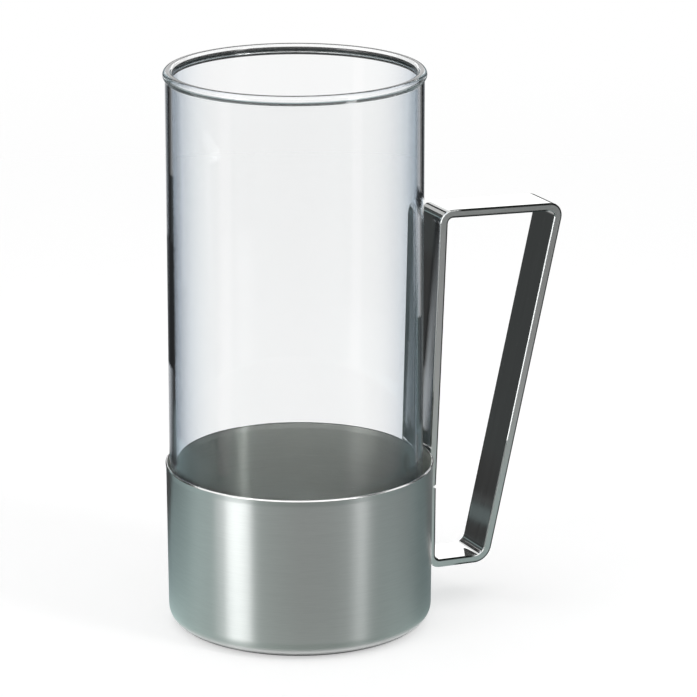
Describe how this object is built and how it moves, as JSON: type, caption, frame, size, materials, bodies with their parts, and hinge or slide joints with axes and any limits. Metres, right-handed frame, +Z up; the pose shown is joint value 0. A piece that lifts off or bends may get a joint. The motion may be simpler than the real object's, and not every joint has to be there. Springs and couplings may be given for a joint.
{
  "type": "glass cup with metal holder",
  "caption": "Tall straight heatproof glass standing loose in a short brushed steel cup holder with a closed tapering strip handle; the glass lifts straight out of the holder.",
  "frame": {"origin": "holder axis at the plane of the foot ring that the holder stands on", "axes": "+Z up along the holder axis, +X along the handle, away from the holder"},
  "size_m": [0.1046, 0.0674, 0.142],
  "materials": {
    "clear_glass": "clear, fire-polished",
    "brushed_sheet": "brushed around the wall",
    "polished_strip": "polished faces with satin edges",
    "weld_metal": "dull weld metal"
  },
  "bodies": {
    "holder": {"cup_holder": "brushed_sheet", "handle_strip": "polished_strip", "handle_spot_welds": "weld_metal"},
    "glass": {"glass_tumbler": "clear_glass"}
  },
  "joints": [
    {"name": "glass_lift", "type": "slide", "parent": "holder", "child": "glass", "axis": [0, 0, 1], "range_m": [0, 0.11]}
  ]
}
